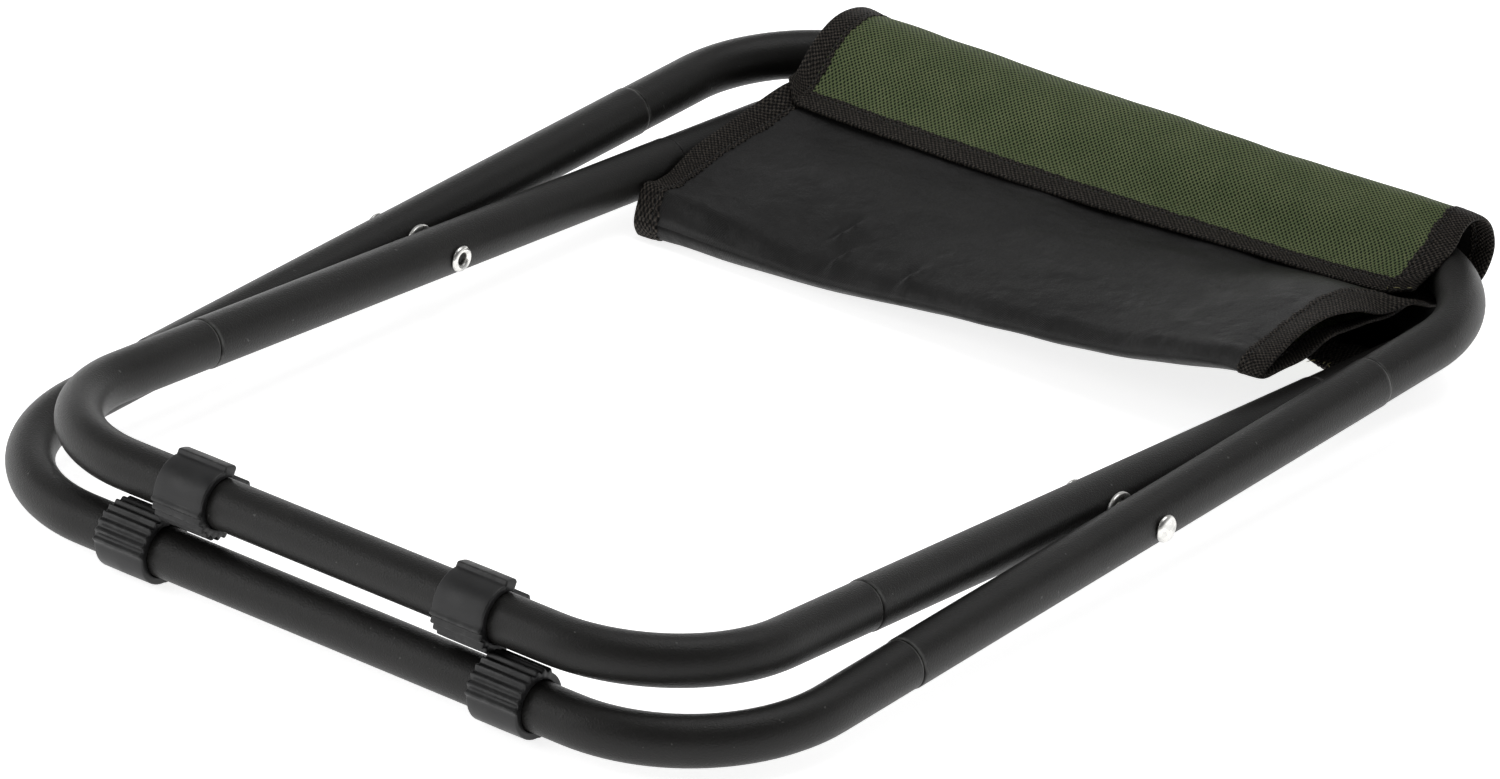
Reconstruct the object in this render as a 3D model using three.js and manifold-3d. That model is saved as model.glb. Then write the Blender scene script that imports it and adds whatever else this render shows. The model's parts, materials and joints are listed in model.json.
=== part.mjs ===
// Folding camp stool, folded flat and lying on the floor.
// Millimetres. +Z is up, X runs along the bars, +Y points from the foot end to the seat end.
// Two U-ended tube frames cross on a rivet at each side: the outer frame is wide, the inner
// frame nests between its side tubes. A cloth seat hangs between the two seat bars.
import * as THREE from "three";
import Module from "manifold-3d";

const wasm = await Module();
wasm.setup();
const { Manifold, Mesh: SolidMesh } = wasm;

// Driving dimensions of the tube frames
const SIDE_R = 9.5; // side tube outside radius
const BAR_R = 9.2; // U-bar outside radius
const WALL = 1.2;
const SPIGOT_R = 8.0; // the reduced bar end that plugs into a side tube
const SPIGOT_LENGTH = 22;
const SEAM_GAP = 0.3; // bar shoulder to side tube end
const REST_TILT = (2.9 * Math.PI) / 180; // each frame to the floor, when folded

const OUTER = {
  name: "outer",
  tilt: REST_TILT,
  halfWidth: 172.5,
  foot: { reach: 235.3, bend: 61.7, leg: 39.7 },
  seat: { reach: 231.0, bend: 60.7, leg: 36.0 },
  sleeve: { far: 17.5, over: 17.0 }, // cloth from the bar's axis, beyond it and over it
};
const INNER = {
  name: "inner",
  tilt: -REST_TILT,
  halfWidth: 151.2,
  foot: { reach: 229.2, bend: 55.1, leg: 43.8 },
  seat: { reach: 227.0, bend: 42.0, leg: 54.0 },
  sleeve: { far: 14.0, over: 11.5 },
};

// Pivots
const HOLE_R = 3.08;
const SHANK_R = 3.0;
const HEAD_R = 5.1;
const HEAD_RISE = 2.3;
const TAIL_R = 5.0;
const TAIL_RISE = 1.7;
const TAIL_HOLE_R = 2.3;
const TAIL_HOLE_DEPTH = 9;
const SPACER_R = 7.0;
const SPACER_GAP = 0.3;

// Foot clips
const CLIP_LENGTH = 20.5;
const CLIP_IN_R = 9.5;
const CLIP_OUT_R = 12.2;
const RIB_R = 12.8;
const LIP_R = 13.0;
const FIRST_RIB = 18; // degrees from straight out, towards the ground side
const RIBS = 8;
const RIB_STEP = 15; // degrees from rib to rib; the second rib meets the ground
const LIPS = [-115, 205]; // the clip's two edges, either side of its mouth

// Seat cloth
const CLOTH = 1.0;
const CLOTH_HALF_WIDTH = 140;
const TAPE = 9;
const SEWN_GAP = 0.3;
const PANEL_DROP = 10.65; // panel mid-plane from its bar's axis
// How the sleeve falls from over the bar to its hem: distance from the bar, share of the drop
const FLAP_FALL = [[8, 0], [14, 0.04], [20, 0.09], [26, 0.18], [30.5, 0.31], [34, 0.6], [36.5, 0.86],
  [38.5, 1]];
const FOLD_Y = 104; // crease from the pivot axis, when folded
const HEM_START = 41;
const HEM_END = 50;

const PIVOT_Z = OUTER.foot.reach * Math.sin(REST_TILT) + CLIP_OUT_R;
const LOW_END = OUTER.foot.reach * Math.cos(REST_TILT) + CLIP_OUT_R;
const HIGH_END = OUTER.seat.reach * Math.cos(REST_TILT) + OUTER.sleeve.far + CLOTH / 2;
const PIVOT_Y = (LOW_END - HIGH_END) / 2;

const ROUND = 20;
const BEND_STEPS = 9;

const powderCoat = { color: 0x242321, roughness: 0.62, metalness: 0.0 };
const zinc = { color: 0xb8b6ae, roughness: 0.35, metalness: 1.0 };
const clipPlastic = { color: 0x1b1b1c, roughness: 0.5, metalness: 0.0 };
const greenCloth = { color: 0x3b4d2f, roughness: 0.85, metalness: 0.0 };
const tapeCloth = { color: 0x1c1c1d, roughness: 0.8, metalness: 0.0 };

const stool = new THREE.Group();
stool.name = "camp_stool";

function addPiece(name, geometry, look) {
  const mesh = new THREE.Mesh(geometry, new THREE.MeshStandardMaterial(look));
  mesh.name = name;
  stool.add(mesh);
}

// Lays a frame's own plane (x across, y along the legs) into the folded stool.
function layDown(geometry, tilt) {
  geometry.rotateX(tilt);
  geometry.translate(0, PIVOT_Y, PIVOT_Z);
  return geometry;
}

// A closed hollow tube along stations {x, y, dx, dy, outer, inner} in the z = 0 plane.
function sweepTube(stations) {
  const positions = [];
  const index = [];
  for (const st of stations) {
    for (const radius of [st.outer, st.inner]) {
      for (let i = 0; i < ROUND; i += 1) {
        const a = (2 * Math.PI * i) / ROUND;
        const side = radius * Math.cos(a);
        positions.push(st.x + side * st.dy, st.y - side * st.dx, radius * Math.sin(a));
      }
    }
  }
  const at = (s, inner, i) => s * 2 * ROUND + (inner ? ROUND : 0) + (i % ROUND);
  const quad = (a, b, c, d) => index.push(a, c, b, a, d, c);
  for (let i = 0; i < ROUND; i += 1) {
    for (let s = 0; s + 1 < stations.length; s += 1) {
      quad(at(s, 0, i), at(s, 0, i + 1), at(s + 1, 0, i + 1), at(s + 1, 0, i));
      quad(at(s, 1, i + 1), at(s, 1, i), at(s + 1, 1, i), at(s + 1, 1, i + 1));
    }
    const end = stations.length - 1;
    quad(at(0, 0, i + 1), at(0, 0, i), at(0, 1, i), at(0, 1, i + 1));
    quad(at(end, 0, i), at(end, 0, i + 1), at(end, 1, i + 1), at(end, 1, i));
  }
  const geometry = new THREE.BufferGeometry();
  geometry.setAttribute("position", new THREE.Float32BufferAttribute(positions, 3));
  geometry.setIndex(index);
  return geometry;
}

// One U-bar, from the right spigot round the bend, along the bar and back to the left spigot.
function barStations(halfWidth, bar) {
  const stations = [];
  const put = (x, y, dx, dy, outer) =>
    stations.push({ x, y, dx, dy, outer, inner: outer === BAR_R ? BAR_R - WALL : SPIGOT_R - WALL });
  const bendY = bar.reach - bar.bend;
  const seamY = bendY - bar.leg;
  put(halfWidth, seamY - SPIGOT_LENGTH, 0, 1, SPIGOT_R);
  put(halfWidth, seamY + SEAM_GAP / 2, 0, 1, SPIGOT_R);
  put(halfWidth, seamY + SEAM_GAP, 0, 1, BAR_R);
  const bendX = halfWidth - bar.bend;
  for (let i = 0; i <= BEND_STEPS; i += 1) {
    const a = (Math.PI / 2) * (i / BEND_STEPS);
    const c = Math.cos(a);
    const s = Math.sin(a);
    put(bendX + bar.bend * c, bendY + bar.bend * s, -s, c, BAR_R);
  }
  for (let i = BEND_STEPS; i >= 0; i -= 1) {
    const a = (Math.PI / 2) * (i / BEND_STEPS);
    const c = Math.cos(a);
    const s = Math.sin(a);
    put(-bendX - bar.bend * c, bendY + bar.bend * s, -s, -c, BAR_R);
  }
  put(-halfWidth, seamY + SEAM_GAP, 0, -1, BAR_R);
  put(-halfWidth, seamY + SEAM_GAP / 2, 0, -1, SPIGOT_R);
  put(-halfWidth, seamY - SPIGOT_LENGTH, 0, -1, SPIGOT_R);
  return stations;
}

function toSolid(geometry) {
  const vertProperties = new Float32Array(geometry.attributes.position.array);
  const triVerts = new Uint32Array(geometry.index.array);
  return new Manifold(new SolidMesh({ numProp: 3, vertProperties, triVerts }));
}

function toGeometry(solid) {
  const mesh = solid.getMesh();
  const geometry = new THREE.BufferGeometry();
  geometry.setAttribute("position", new THREE.Float32BufferAttribute(mesh.vertProperties, 3));
  geometry.setIndex([...mesh.triVerts]);
  return geometry;
}

function addFrame(frame) {
  const seamOf = (bar) => bar.reach - bar.bend - bar.leg;
  const seatBar = sweepTube(barStations(frame.halfWidth, frame.seat));
  addPiece(`${frame.name}_seat_bar`, layDown(seatBar, frame.tilt), powderCoat);
  const footBar = sweepTube(barStations(frame.halfWidth, frame.foot));
  footBar.rotateZ(Math.PI);
  addPiece(`${frame.name}_foot_bar`, layDown(footBar, frame.tilt), powderCoat);
  for (const [sideName, side] of [["left", -1], ["right", 1]]) {
    const x = side * frame.halfWidth;
    const ends = [-seamOf(frame.foot), seamOf(frame.seat)];
    const plain = sweepTube(
      ends.map((y) => ({ x, y, dx: 0, dy: 1, outer: SIDE_R, inner: SIDE_R - WALL })),
    );
    const drill = Manifold.cylinder(3 * SIDE_R, HOLE_R, HOLE_R, 32, true)
      .rotate([0, 90, 0])
      .translate([x, 0, 0]);
    const tube = toGeometry(toSolid(plain).subtract(drill));
    addPiece(`${frame.name}_${sideName}_tube`, layDown(tube, frame.tilt), powderCoat);
  }
}

// A turned piece about the pivot axis. Profile points are [x from the stool's middle, radius].
function turned(profile, side) {
  const points = profile.map(([x, r]) => new THREE.Vector2(r, x));
  points.push(points[0].clone());
  const geometry = new THREE.LatheGeometry(points, 32);
  geometry.rotateZ(-Math.PI / 2);
  if (side < 0) {
    geometry.rotateY(Math.PI);
  }
  geometry.translate(0, PIVOT_Y, PIVOT_Z);
  return geometry;
}

function addPivots() {
  const head = OUTER.halfWidth + SIDE_R + 0.05;
  const tail = INNER.halfWidth - SIDE_R - 0.05;
  const rivet = [
    [head + HEAD_RISE, 0],
    [tail + TAIL_HOLE_DEPTH, 0],
    [tail + TAIL_HOLE_DEPTH, TAIL_HOLE_R],
    [tail - 0.4, TAIL_HOLE_R],
    [tail - TAIL_RISE, TAIL_HOLE_R + 0.8],
    [tail - TAIL_RISE, TAIL_R - 1.2],
    [tail - 1.0, TAIL_R],
    [tail, TAIL_R - 0.2],
    [tail, SHANK_R],
    [head, SHANK_R],
    [head, HEAD_R],
    [head + 0.9, HEAD_R - 0.1],
    [head + 1.7, HEAD_R - 1.1],
    [head + HEAD_RISE - 0.1, HEAD_R - 2.6],
  ];
  const innerFace = INNER.halfWidth + SIDE_R + SPACER_GAP;
  const outerFace = OUTER.halfWidth - SIDE_R - SPACER_GAP;
  const spacer = [
    [innerFace, HOLE_R],
    [innerFace, SPACER_R],
    [outerFace, SPACER_R],
    [outerFace, HOLE_R],
  ];
  for (const [sideName, side] of [["left", -1], ["right", 1]]) {
    addPiece(`${sideName}_rivet`, turned(rivet, side), zinc);
    addPiece(`${sideName}_spacer`, turned(spacer, side), zinc);
  }
}

// The clip's cross-section: +x is straight out from the bar, +y is the ground side.
function clipShape() {
  const rad = (deg) => (deg * Math.PI) / 180;
  const point = (r, deg) => new THREE.Vector2(r * Math.cos(rad(deg)), r * Math.sin(rad(deg)));
  const [first, last] = LIPS;
  const ribHalf = RIB_STEP * 0.27;
  const points = [point(CLIP_IN_R, first), point(LIP_R, first), point(LIP_R, first + 9)];
  for (let a = first + 13; a < FIRST_RIB - ribHalf - 4; a += 12) {
    points.push(point(CLIP_OUT_R, a));
  }
  for (let i = 0; i < RIBS; i += 1) {
    const mid = FIRST_RIB + i * RIB_STEP;
    points.push(point(CLIP_OUT_R, mid - ribHalf - 2));
    points.push(point(RIB_R, mid - ribHalf));
    points.push(point(RIB_R, mid + ribHalf));
    points.push(point(CLIP_OUT_R, mid + ribHalf + 2));
  }
  for (let a = FIRST_RIB + (RIBS - 1) * RIB_STEP + 14; a < last - 9; a += 12) {
    points.push(point(CLIP_OUT_R, a));
  }
  points.push(point(LIP_R, last - 9), point(LIP_R, last));
  for (let a = last; a > first; a -= 10) {
    points.push(point(CLIP_IN_R, a));
  }
  return new THREE.Shape(points);
}

// Clips sit with their ribs towards the ground the standing stool will meet: the upper side
// of the outer bar and the lower side of the inner bar, when folded.
function addClips(frame, x) {
  const ground = frame === OUTER ? 1 : -1;
  for (const [sideName, side] of [["left", -1], ["right", 1]]) {
    const clip = new THREE.ExtrudeGeometry(clipShape(), {
      depth: CLIP_LENGTH,
      bevelEnabled: false,
    });
    clip.translate(0, 0, -CLIP_LENGTH / 2);
    const axes = new THREE.Matrix4().makeBasis(
      new THREE.Vector3(0, -1, 0),
      new THREE.Vector3(0, 0, ground),
      new THREE.Vector3(-ground, 0, 0),
    );
    clip.applyMatrix4(axes);
    clip.translate(side * x, -frame.foot.reach, 0);
    addPiece(`${frame.name}_${sideName}_foot_clip`, layDown(clip, frame.tilt), clipPlastic);
  }
}

// Middle line of one seat half in section: u from the bar's axis towards the crease, w away
// from the other half. It runs from the crease to the bar, round it and back to the hem.
function seatLine(panelEnd, sleeve) {
  const line = [[panelEnd, -PANEL_DROP]];
  const steps = 12;
  for (let i = 0; i <= steps; i += 1) {
    const a = -Math.PI / 2 - (Math.PI * i) / steps;
    const near = i < steps / 2 ? PANEL_DROP : sleeve.over;
    const slack = 1 - Math.abs(i - steps / 2) / (steps / 2);
    const r = near + (sleeve.far - near) * slack;
    line.push([r * Math.cos(a), r * Math.sin(a)]);
  }
  const hemLevel = -PANEL_DROP + 1.4;
  const drop = sleeve.over - hemLevel;
  for (const [u, share] of FLAP_FALL) {
    line.push([u, sleeve.over - share * drop]);
  }
  line.push([HEM_START, hemLevel]);
  return line;
}

// The closed outline of a strip of cloth laid along a line.
function stripShape(line, thickness) {
  const left = [];
  const right = [];
  for (let i = 0; i < line.length; i += 1) {
    const before = line[Math.max(i - 1, 0)];
    const after = line[Math.min(i + 1, line.length - 1)];
    const run = Math.hypot(after[0] - before[0], after[1] - before[1]);
    const nu = (-(after[1] - before[1]) / run) * (thickness / 2);
    const nw = ((after[0] - before[0]) / run) * (thickness / 2);
    left.push(new THREE.Vector2(line[i][0] + nu, line[i][1] + nw));
    right.push(new THREE.Vector2(line[i][0] - nu, line[i][1] - nw));
  }
  return new THREE.Shape([...left, ...right.reverse()]);
}

function addStrip(name, frame, line, fromX, toX, look) {
  const up = frame === OUTER ? 1 : -1;
  const barY = frame.seat.reach * Math.cos(frame.tilt);
  const barZ = frame.seat.reach * Math.sin(frame.tilt);
  const placed = line.map(([u, w]) => [barY - u, barZ + up * w]);
  const strip = new THREE.ExtrudeGeometry(stripShape(placed, CLOTH), {
    depth: toX - fromX,
    bevelEnabled: false,
  });
  const axes = new THREE.Matrix4().makeBasis(
    new THREE.Vector3(0, 1, 0),
    new THREE.Vector3(0, 0, 1),
    new THREE.Vector3(1, 0, 0),
  );
  strip.applyMatrix4(axes);
  strip.translate(fromX, PIVOT_Y, PIVOT_Z);
  addPiece(name, strip, look);
}

function addSeatHalf(name, frame) {
  const inside = CLOTH_HALF_WIDTH - TAPE - SEWN_GAP;
  const panelEnd = frame.seat.reach * Math.cos(frame.tilt) - FOLD_Y;
  const line = seatLine(panelEnd, frame.sleeve);
  const hemLevel = -PANEL_DROP + 1.4;
  const taped = [...line, [HEM_END, hemLevel]];
  const hem = [[HEM_START + SEWN_GAP, hemLevel], [HEM_END, hemLevel]];
  addStrip(`${name}_cloth`, frame, line, -inside, inside, greenCloth);
  addStrip(`${name}_hem_tape`, frame, hem, -inside, inside, tapeCloth);
  addStrip(`${name}_left_tape`, frame, taped, -CLOTH_HALF_WIDTH, -inside - SEWN_GAP, tapeCloth);
  addStrip(`${name}_right_tape`, frame, taped, inside + SEWN_GAP, CLOTH_HALF_WIDTH, tapeCloth);
}

// The turn of cloth at the crease, between the two folded halves.
function addCrease() {
  const upper = OUTER.seat.reach * Math.sin(REST_TILT) - PANEL_DROP;
  const lower = -INNER.seat.reach * Math.sin(REST_TILT) + PANEL_DROP;
  const middle = (upper + lower) / 2;
  const radius = (upper - lower) / 2;
  const line = [];
  const steps = 6;
  for (let i = 0; i <= steps; i += 1) {
    const a = Math.PI / 2 + (Math.PI * i) / steps;
    const y = FOLD_Y - SEWN_GAP + radius * Math.cos(a);
    line.push([OUTER.seat.reach * Math.cos(REST_TILT) - y, middle + radius * Math.sin(a)]);
  }
  const barZ = OUTER.seat.reach * Math.sin(REST_TILT);
  const fromBar = line.map(([u, z]) => [u, z - barZ]);
  addStrip("seat_crease", OUTER, fromBar, -CLOTH_HALF_WIDTH, CLOTH_HALF_WIDTH, greenCloth);
}

addFrame(OUTER);
addFrame(INNER);
addPivots();
addClips(OUTER, 85);
addClips(INNER, 63.5);
addSeatHalf("seat_front", OUTER);
addSeatHalf("seat_rear", INNER);
addCrease();

export default stool;
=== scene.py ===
"""Camp stool, folded flat on a pale floor: the looks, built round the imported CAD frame.

Lengths are millimetres in the stool's own frame (X along the bars, +Y towards the seat end,
Z up from the floor) unless a name says otherwise. MM turns them into Blender's metres.
"""
import math
import random

import bmesh
import bpy
import numpy as np
from mathutils import Matrix, Vector, noise
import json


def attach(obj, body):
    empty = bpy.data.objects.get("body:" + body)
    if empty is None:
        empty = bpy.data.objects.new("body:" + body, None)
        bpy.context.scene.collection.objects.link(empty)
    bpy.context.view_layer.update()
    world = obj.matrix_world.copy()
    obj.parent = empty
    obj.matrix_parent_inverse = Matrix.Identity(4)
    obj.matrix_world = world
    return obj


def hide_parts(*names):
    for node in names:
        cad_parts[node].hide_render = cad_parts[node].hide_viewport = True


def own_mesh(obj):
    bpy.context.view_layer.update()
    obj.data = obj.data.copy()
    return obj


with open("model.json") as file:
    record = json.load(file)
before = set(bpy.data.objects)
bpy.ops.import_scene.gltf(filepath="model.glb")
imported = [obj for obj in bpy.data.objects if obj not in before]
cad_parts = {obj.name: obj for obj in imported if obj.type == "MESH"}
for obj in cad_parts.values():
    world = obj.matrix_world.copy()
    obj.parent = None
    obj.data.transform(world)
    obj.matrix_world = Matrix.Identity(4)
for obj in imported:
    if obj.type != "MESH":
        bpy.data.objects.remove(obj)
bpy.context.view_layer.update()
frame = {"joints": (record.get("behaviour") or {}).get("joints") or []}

MM = 0.001
JOINT_AT = {joint["name"]: np.array(joint["pos_m"]) / MM for joint in frame["joints"]}
PIVOT = JOINT_AT["fold"]
OUTER_AXIS = JOINT_AT["front_roll"]
INNER_AXIS = JOINT_AT["rear_roll"]

# Tube frames, as the CAD model has them
REST_TILT = math.radians(2.9)
SIDE_R = 9.5
BAR_R = 9.2
WALL = 1.2
SPIGOT_R = 8.0
SPIGOT_LENGTH = 22.0
SEAM_GAP = 0.3
FRAMES = {
    "outer": {
        "tilt": REST_TILT,
        "half_width": 172.5,
        "foot": {"reach": 235.3, "bend": 61.7, "leg": 39.7},
        "seat": {"reach": 231.0, "bend": 60.7, "leg": 36.0},
        "clip_x": 85.0,
    },
    "inner": {
        "tilt": -REST_TILT,
        "half_width": 151.2,
        "foot": {"reach": 229.2, "bend": 55.1, "leg": 43.8},
        "seat": {"reach": 227.0, "bend": 42.0, "leg": 54.0},
        "clip_x": 63.5,
    },
}
SIDES = {"left": -1, "right": 1}

# Pivots
RIVET_HEAD_R = 5.1
RIVET_HEAD_RISE = 2.3
RIVET_TAIL_R = 5.0
RIVET_TAIL_RISE = 1.7
RIVET_TAIL_HOLE_R = 2.3
RIVET_TAIL_HOLE_DEPTH = 9.0
RIVET_SHANK_R = 3.0
SPACER_R = 7.0
SPACER_GAP = 0.3

# Foot clips: angles are in degrees from straight out of the bar, towards the ground side
CLIP_LENGTH = 22.4
CLIP_CLEARANCE = 0.05
CLIP_CORNER = 0.7
CLIP_CHAMFER = 0.3
CLIP_IN_R = 9.5
CLIP_OUT_R = 12.2
RIB_RISE = 1.35
LIP_R = 13.9
FIRST_RIB = {"outer": 13.0, "inner": 6.0}
RIBS = 8
RIB_STEP = 15.0
RIB_WIDTH = 4.6
LIPS = (-114.0, 201.0)
LIP_SPAN = (22.0, 27.0)

# Seat cloth: a green woven face on a black lining, bound all round with tape
FACE_PLY = 0.45
LINING_PLY = 0.35
TAPE_WIDTH = 10.0
TAPE_HALF = 0.92
TAPE_FRAY_WIDTH = 3.5
TAPE_SWELL = 0.08
HEM_SWELL = 0.28
CLOTH_CLEARANCE = 0.15
HEM_CLEARANCE = 0.1
CLOTH_MIDDLE_X = 3.0
CLOTH_HALF_WIDTH = 143.0
REAR_MIDDLE_X = 0.3
RIGHT_CORNER_PULL = 3.6
REAR_HALF_WIDTH = 140.5
PANEL_DROP = 10.65
FRONT_PLANE = OUTER_AXIS[2] - PANEL_DROP
REAR_PLANE = INNER_AXIS[2] + PANEL_DROP
CLOTH_STEP = 2.0
TAPE_STEP = 1.0
HEM_STEP = 1.3


# ---------------------------------------------------------------- meshes

def add_object(name, data):
    made = bpy.data.objects.new(name, data)
    bpy.context.scene.collection.objects.link(made)
    return made


def add_piece(name, points, faces, look, body, attributes=None):
    """A mesh in the stool's frame that rides on a CAD body. Attributes hold one row a point."""
    mesh = bpy.data.meshes.new(name)
    mesh.from_pydata((np.asarray(points, float) * MM).tolist(), [], faces)
    for key, rows in (attributes or {}).items():
        rows = np.asarray(rows, np.float32)
        kind = "FLOAT" if rows.ndim == 1 else "FLOAT_VECTOR"
        layer = mesh.attributes.new(key, kind, "POINT")
        layer.data.foreach_set("value" if rows.ndim == 1 else "vector", rows.ravel())
    shell = bmesh.new()
    shell.from_mesh(mesh)
    bmesh.ops.recalc_face_normals(shell, faces=shell.faces)
    shell.to_mesh(mesh)
    shell.free()
    mesh.shade_smooth()
    mesh.materials.append(look)
    piece = add_object(name, mesh)
    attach(piece, body)
    return piece


def loft(sections, ring=False):
    """Closed sections joined one to the next. A ring joins the last to the first, or ends are capped."""
    sections = np.asarray(sections, float)
    count, sides = sections.shape[:2]
    faces = []
    for s in range(count if ring else count - 1):
        here = s * sides
        after = ((s + 1) % count) * sides
        for i in range(sides):
            j = (i + 1) % sides
            faces.append((here + i, here + j, after + j, after + i))
    if not ring:
        faces.append(tuple(range(sides - 1, -1, -1)))
        faces.append(tuple((count - 1) * sides + i for i in range(sides)))
    return sections.reshape(-1, 3), faces


def join_shells(shells):
    """Several (points, faces) as one."""
    points = []
    faces = []
    for part_points, part_faces in shells:
        start = len(points)
        points.extend(np.asarray(part_points).tolist())
        faces.extend(tuple(start + i for i in face) for face in part_faces)
    return np.array(points), faces


def smooth_step(value, start, end):
    share = np.clip((np.asarray(value, float) - start) / (end - start), 0, 1)
    return share * share * (3 - 2 * share)


def bump(value, centre, width):
    return np.exp(-(((np.asarray(value, float) - centre) / width) ** 2))


def lay_down(points, tilt):
    """From a tube frame's own plane, with the pivot axis at its origin, into the folded stool."""
    x, y, z = np.moveaxis(points, -1, 0)
    c = math.cos(tilt)
    s = math.sin(tilt)
    return np.stack([x, y * c - z * s, y * s + z * c], axis=-1) + PIVOT


# ---------------------------------------------------------------- materials

class Nodes:
    """A node tree being built: put() adds a node, and links or sets its inputs by name or number."""

    def __init__(self, tree):
        self.tree = tree

    def plug(self, socket, value):
        if isinstance(value, bpy.types.NodeSocket):
            self.tree.links.new(value, socket)
        elif value is not None:
            socket.default_value = value

    def put(self, kind, inputs=(), out=0, **settings):
        node = self.tree.nodes.new("ShaderNode" + kind)
        for key, value in settings.items():
            setattr(node, key, value)
        items = inputs.items() if isinstance(inputs, dict) else enumerate(inputs)
        for key, value in items:
            self.plug(node.inputs[key], value)
        return node.outputs[out]

    def math(self, operation, *values):
        return self.put("Math", values, operation=operation)

    def ramp(self, value, start, end, low=0.0, high=1.0):
        return self.put("MapRange", (value, start, end, low, high), interpolation_type="SMOOTHSTEP")


class Look(Nodes):
    """A material, with the textures and mixes that several of them share."""

    def __init__(self, name):
        self.material = bpy.data.materials.new(name)
        self.material.use_nodes = True
        super().__init__(self.material.node_tree)
        self.shader = self.tree.nodes["Principled BSDF"]

    def set(self, **inputs):
        for key, value in inputs.items():
            self.plug(self.shader.inputs[key.replace("_", " ")], value)

    def place(self):
        """The point in the stool's frame, in metres."""
        return self.put("TexCoord", out="Object")

    def stored(self, name, out="Fac"):
        return self.put("Attribute", out=out, attribute_name=name)

    def grain(self, scale, detail=3.0, rough=0.5, vector=None):
        inputs = {"Scale": scale, "Detail": detail, "Roughness": rough}
        inputs["Vector"] = self.place() if vector is None else vector
        return self.put("TexNoise", inputs)

    def mix(self, share, first, second):
        node = self.tree.nodes.new("ShaderNodeMix")
        node.data_type = "RGBA"
        for index, value in ((0, share), (6, first), (7, second)):
            self.plug(node.inputs[index], value)
        return node.outputs[2]

    def relief(self, height, depth_mm, strength=1.0, below=None):
        inputs = {"Height": height, "Distance": depth_mm * MM, "Strength": strength}
        if below is not None:
            inputs["Normal"] = below
        return self.put("Bump", inputs)


def rgb(red, green, blue):
    return (red, green, blue, 1.0)


def powder_coat(name, tint):
    """Fine-textured matt black coat, a little dusty, rubbed pale where the tubes are plugged together."""
    look = Look(name)
    pebble = look.put("TexVoronoi", {"Vector": look.place(), "Scale": 1800.0}, feature="SMOOTH_F1")
    fine = look.grain(2600.0, 2.0)
    broad = look.grain(38.0, 4.0)
    dust = look.ramp(broad, 0.42, 0.72)
    dark = rgb(*(0.82 * c for c in tint))
    pale = rgb(*(1.22 * c for c in tint))
    colour = look.mix(dust, dark, pale)
    colour = look.mix(look.ramp(fine, 0.35, 0.7, 0.0, 0.35), colour, rgb(*(1.7 * c for c in tint)))
    specks = look.ramp(look.grain(420.0, 1.0), 0.765, 0.80)
    near_seam = look.stored("wear")
    scrape = look.math("MULTIPLY", look.ramp(look.grain(110.0, 3.0), 0.40, 0.62), near_seam)
    worn = look.math("MAXIMUM", look.math("MULTIPLY", scrape, 0.6), look.math("MULTIPLY", specks, 0.35))
    look.set(Base_Color=look.mix(worn, colour, rgb(0.14, 0.14, 0.135)))
    rough = look.ramp(fine, 0.3, 0.7, 0.35, 0.49)
    look.set(Roughness=look.math("ADD", rough, look.math("MULTIPLY", worn, -0.1)))
    height = look.math("ADD", look.math("MULTIPLY", pebble, 0.7), look.math("MULTIPLY", fine, 0.5))
    look.set(Normal=look.relief(height, 0.2, 0.8))
    look.set(Specular_IOR_Level=0.27)
    return look.material


def zinc_plate():
    """Bright zinc with fine turning marks and a few dull patches."""
    look = Look("zinc_plate")
    stretched = look.put("Mapping", {"Vector": look.place(), "Scale": (4000.0, 500.0, 500.0)})
    marks = look.grain(1.0, 4.0, vector=stretched)
    patch = look.grain(260.0, 4.0)
    look.set(Base_Color=look.mix(look.ramp(patch, 0.35, 0.7), rgb(0.80, 0.79, 0.76), rgb(0.50, 0.50, 0.49)))
    look.set(Metallic=1.0, Roughness=look.ramp(patch, 0.3, 0.75, 0.20, 0.42))
    look.set(Normal=look.relief(marks, 0.03, 0.4))
    return look.material


def clip_plastic():
    """Moulded black plastic, greyed along the crests of its ribs and lips."""
    look = Look("clip_plastic")
    fine = look.grain(900.0, 4.0)
    broad = look.grain(90.0, 4.0)
    edge = look.stored("wear")
    rubbed = look.math("MULTIPLY", edge, look.ramp(look.grain(240.0, 6.0, 0.6), 0.42, 0.68))
    base = look.mix(look.ramp(broad, 0.35, 0.7), rgb(0.0065, 0.0065, 0.0068), rgb(0.013, 0.013, 0.0135))
    look.set(Base_Color=look.mix(look.math("MULTIPLY", rubbed, 0.7), base, rgb(0.05, 0.05, 0.049)))
    look.set(Roughness=look.ramp(broad, 0.3, 0.7, 0.38, 0.54), Specular_IOR_Level=0.4)
    look.set(Normal=look.relief(look.math("ADD", fine, look.math("MULTIPLY", broad, 0.6)), 0.08, 0.5))
    return look.material


def cloth_axes(look):
    """Millimetres across the cloth and along it, and the same two as one vector."""
    place = look.stored("cloth", "Vector")
    across = look.put("SeparateXYZ", [place])
    along = look.put("SeparateXYZ", [place], out=1)
    return across, along, place


def wave(look, value, period, phase=0.0):
    return look.math("SINE", look.math("MULTIPLY_ADD", value, 2 * math.pi / period, phase))


WEAVE_PERIOD = 1.87
TAPE_PERIOD = 1.8


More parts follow.
